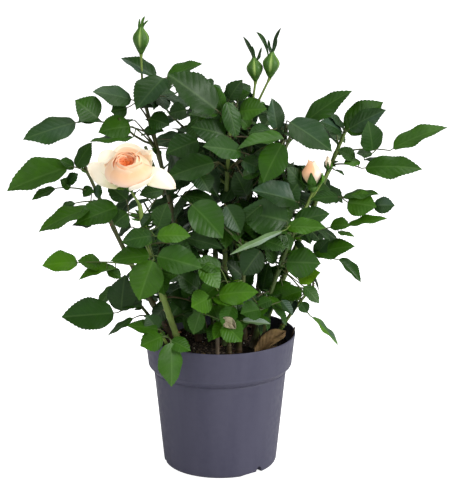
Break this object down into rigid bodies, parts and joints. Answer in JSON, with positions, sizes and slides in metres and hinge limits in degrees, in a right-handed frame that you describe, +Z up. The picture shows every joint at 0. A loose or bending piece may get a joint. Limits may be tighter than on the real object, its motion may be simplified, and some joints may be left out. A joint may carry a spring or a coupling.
{
  "type": "patio rose bush in a nursery pot",
  "caption": "Small rose bush with many leafy canes, one open double bloom and several buds, in a round tapered plastic nursery pot.",
  "frame": {"origin": "centre of the pot's flat underside, where the pot's own axis meets it", "axes": "+Z up along the pot's axis; the side with the open bloom faces -Y; the bloom is on the -X side"},
  "size_m": [0.3688, 0.2257, 0.3903],
  "materials": {
    "pot_plastic": "satin grey-purple moulded plastic",
    "potting_soil": "crumbly dark potting soil with white grains",
    "cane_bark": "smooth green to brown bark with a few prickles",
    "foliage": "semi-gloss green leaves with paler undersides",
    "blossom": "soft matt peach petals, cream at the rim",
    "flower_bud": "satin green buds with leafy sepals"
  },
  "bodies": {
    "root": {"pot": "pot_plastic", "soil": "potting_soil", "cane_back_left": "cane_bark", "cane_back_middle": "cane_bark", "cane_back_right": "cane_bark", "cane_centre": "cane_bark", "cane_far_left": "cane_bark", "cane_front_left": "cane_bark", "cane_front_middle": "cane_bark", "cane_front_right": "cane_bark", "cane_low_back": "cane_bark", "cane_low_front": "cane_bark", "cane_low_left": "cane_bark", "cane_low_right": "cane_bark", "cane_pot_edge": "cane_bark", "cane_right": "cane_bark", "cane_right_middle": "cane_bark", "cane_top_left": "cane_bark", "cane_top_middle": "cane_bark", "foliage_back_left": "foliage", "foliage_back_middle": "foliage", "foliage_back_right": "foliage", "foliage_centre": "foliage", "foliage_far_left": "foliage", "foliage_front_left": "foliage", "foliage_front_middle": "foliage", "foliage_front_right": "foliage", "foliage_low_back": "foliage", "foliage_low_front": "foliage", "foliage_low_left": "foliage", "foliage_low_right": "foliage", "foliage_pot_edge": "foliage", "foliage_right": "foliage", "foliage_right_middle": "foliage", "foliage_top_left": "foliage", "foliage_top_middle": "foliage", "open_bloom": "blossom", "half_open_buds": "flower_bud", "twin_buds": "flower_bud", "bud_top_left": "flower_bud"}
  },
  "joints": []
}
